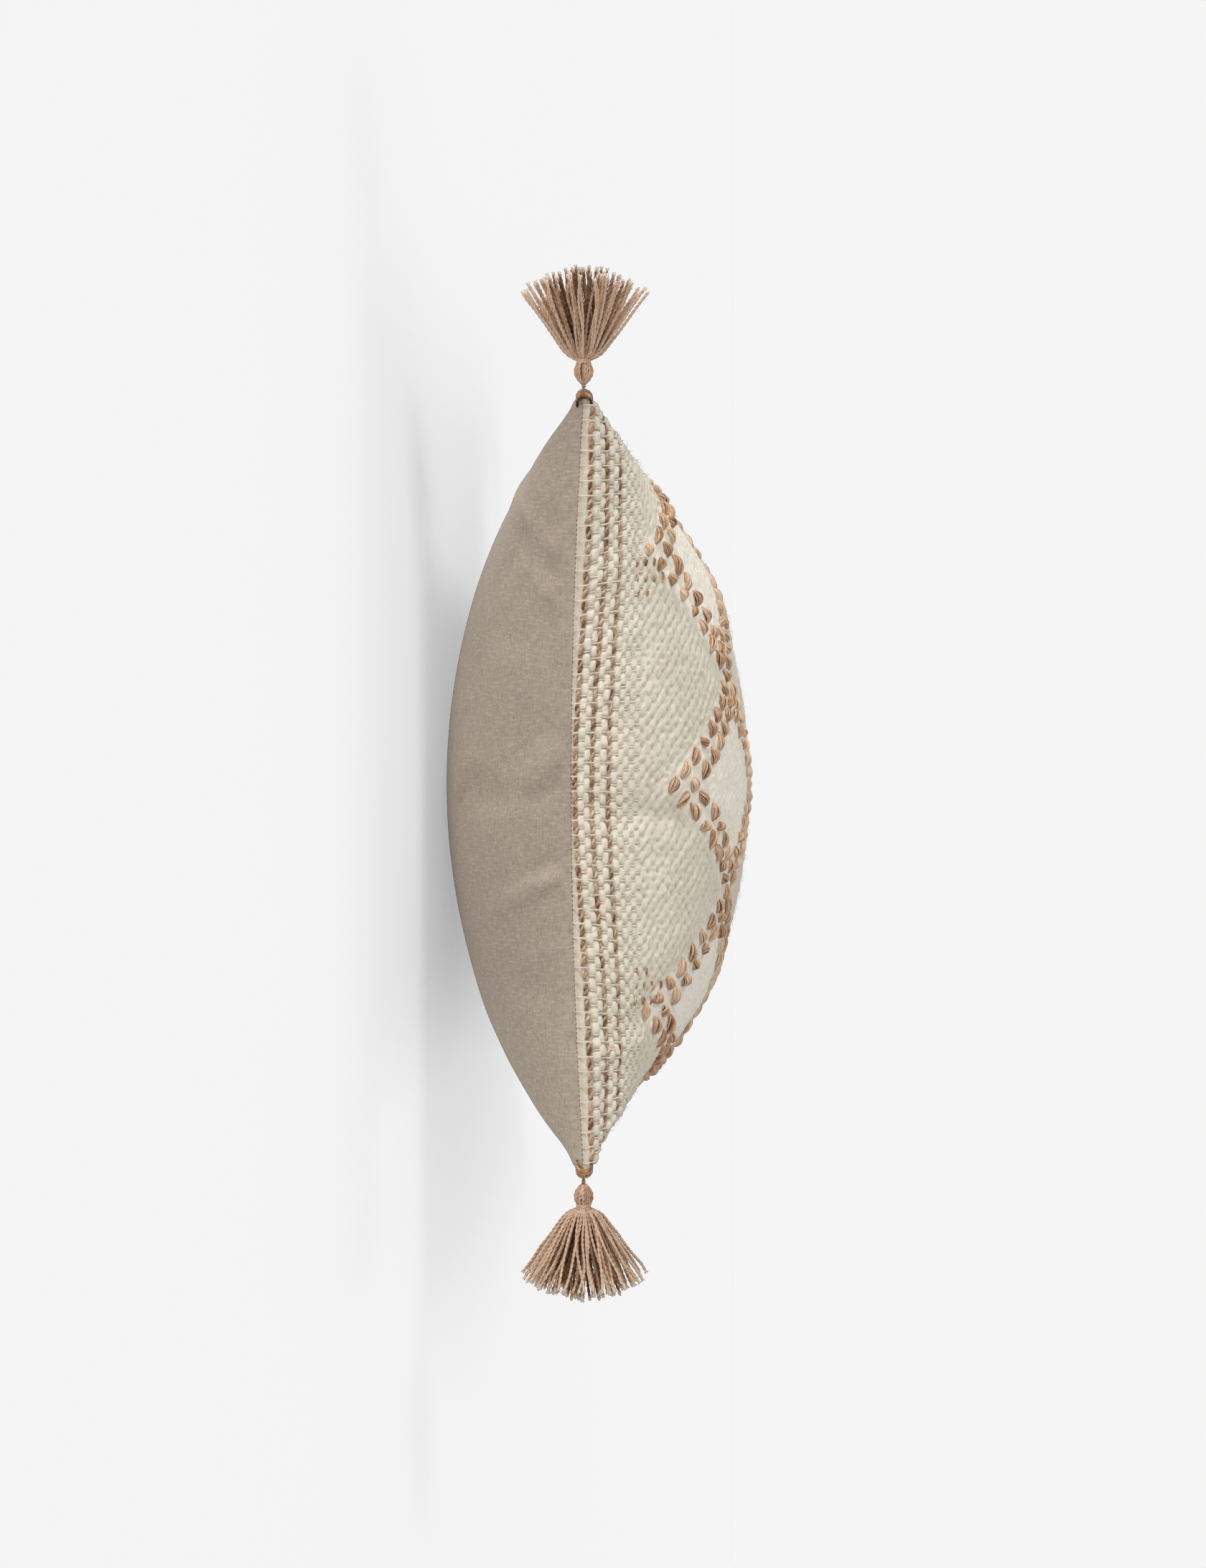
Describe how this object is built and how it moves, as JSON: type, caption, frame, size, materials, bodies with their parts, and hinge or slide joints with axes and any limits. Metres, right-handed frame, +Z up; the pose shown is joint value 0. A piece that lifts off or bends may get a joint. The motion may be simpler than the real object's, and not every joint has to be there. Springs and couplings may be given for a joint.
{
  "type": "throw pillow",
  "caption": "Plump square throw pillow with a chunky handwoven wool front, plain linen back, zip in its lower edge and a fanned yarn tassel at each corner.",
  "frame": {"origin": "under the middle of the pillow, on the surface that its plain back rests on", "axes": "+Z up through the thickness, out of the patterned face; +Y up the face, away from the zip; +X across the face"},
  "size_m": [0.5958, 0.6358, 0.2188],
  "materials": {
    "wool": "handwoven chunky wool",
    "linen": "plain-woven linen",
    "cotton_casing": "plain cotton",
    "filling": "loose polyester fibre",
    "brown_yarn": "plied wool yarn",
    "jute_yarn": "thick plied yarn",
    "sewing_thread": "polyester thread",
    "zip_tape": "woven tape",
    "zip_coil": "satin nylon",
    "zip_metal": "antique brass",
    "striped_cord": "striped plied cord",
    "tassel_yarn": "two-ply cotton yarn"
  },
  "bodies": {
    "root": {"front_panel": "wool", "back_panel": "linen", "insert_cover_front": "cotton_casing", "insert_cover_back": "cotton_casing", "insert_fill": "filling", "border_stitches": "brown_yarn", "motif_tufts": "jute_yarn", "seam_stitches": "sewing_thread", "zipper_tape_front": "zip_tape", "zipper_tape_back": "zip_tape", "zipper_coil_front": "zip_coil", "zipper_coil_back": "zip_coil", "zipper_bottom_stop": "zip_metal", "zipper_top_stops": "zip_metal", "loop_left_top": "striped_cord", "loop_left_bottom": "striped_cord", "loop_right_bottom": "striped_cord", "loop_right_top": "striped_cord"},
    "zipper_slider": {"zipper_slider": "zip_metal"},
    "zipper_pull": {"zipper_pull": "zip_metal"},
    "cord_left_top": {"cord_left_top": "tassel_yarn"},
    "tassel_left_top": {"tassel_head_left_top": "tassel_yarn", "tassel_wrap_left_top": "tassel_yarn", "tassel_skirt_left_top": "tassel_yarn"},
    "cord_left_bottom": {"cord_left_bottom": "tassel_yarn"},
    "tassel_left_bottom": {"tassel_head_left_bottom": "tassel_yarn", "tassel_wrap_left_bottom": "tassel_yarn", "tassel_skirt_left_bottom": "tassel_yarn"},
    "cord_right_bottom": {"cord_right_bottom": "tassel_yarn"},
    "tassel_right_bottom": {"tassel_head_right_bottom": "tassel_yarn", "tassel_wrap_right_bottom": "tassel_yarn", "tassel_skirt_right_bottom": "tassel_yarn"},
    "cord_right_top": {"cord_right_top": "tassel_yarn"},
    "tassel_right_top": {"tassel_head_right_top": "tassel_yarn", "tassel_wrap_right_top": "tassel_yarn", "tassel_skirt_right_top": "tassel_yarn"}
  },
  "joints": [
    {"name": "zipper_slide", "type": "slide", "parent": "root", "child": "zipper_slider", "axis": [-1, 0, 0], "range_m": [0, 0.304]},
    {"name": "zipper_pull_flip", "type": "hinge", "parent": "zipper_slider", "child": "zipper_pull", "pos_m": [0.152, -0.2176, 0.1062], "axis": [0, 0, -1], "range_deg": [0, 165]},
    {"name": "tassel_swing_left_top", "type": "hinge", "parent": "root", "child": "cord_left_top", "pos_m": [-0.24149, 0.24149, 0.1162], "axis": [0, 0, 1], "range_deg": [-30, 120]},
    {"name": "tassel_droop_left_top", "type": "hinge", "parent": "cord_left_top", "child": "tassel_left_top", "pos_m": [-0.24149, 0.24438, 0.1162], "axis": [1, 0, 0], "range_deg": [-60, 60]},
    {"name": "tassel_swing_left_bottom", "type": "hinge", "parent": "root", "child": "cord_left_bottom", "pos_m": [-0.24149, -0.24149, 0.1162], "axis": [0, 0, 1], "range_deg": [-120, 30]},
    {"name": "tassel_droop_left_bottom", "type": "hinge", "parent": "cord_left_bottom", "child": "tassel_left_bottom", "pos_m": [-0.24149, -0.24438, 0.1162], "axis": [-1, 0, 0], "range_deg": [-60, 60]},
    {"name": "tassel_swing_right_bottom", "type": "hinge", "parent": "root", "child": "cord_right_bottom", "pos_m": [0.24149, -0.24149, 0.1162], "axis": [0, 0, 1], "range_deg": [-150, 0]},
    {"name": "tassel_droop_right_bottom", "type": "hinge", "parent": "cord_right_bottom", "child": "tassel_right_bottom", "pos_m": [0.244, -0.24003, 0.1162], "axis": [0.5, -0.866, 0], "range_deg": [-60, 60]},
    {"name": "tassel_swing_right_top", "type": "hinge", "parent": "root", "child": "cord_right_top", "pos_m": [0.24149, 0.24149, 0.1162], "axis": [0, 0, 1], "range_deg": [0, 150]},
    {"name": "tassel_droop_right_top", "type": "hinge", "parent": "cord_right_top", "child": "tassel_right_top", "pos_m": [0.244, 0.24003, 0.1162], "axis": [-0.5, -0.866, 0], "range_deg": [-60, 60]}
  ]
}
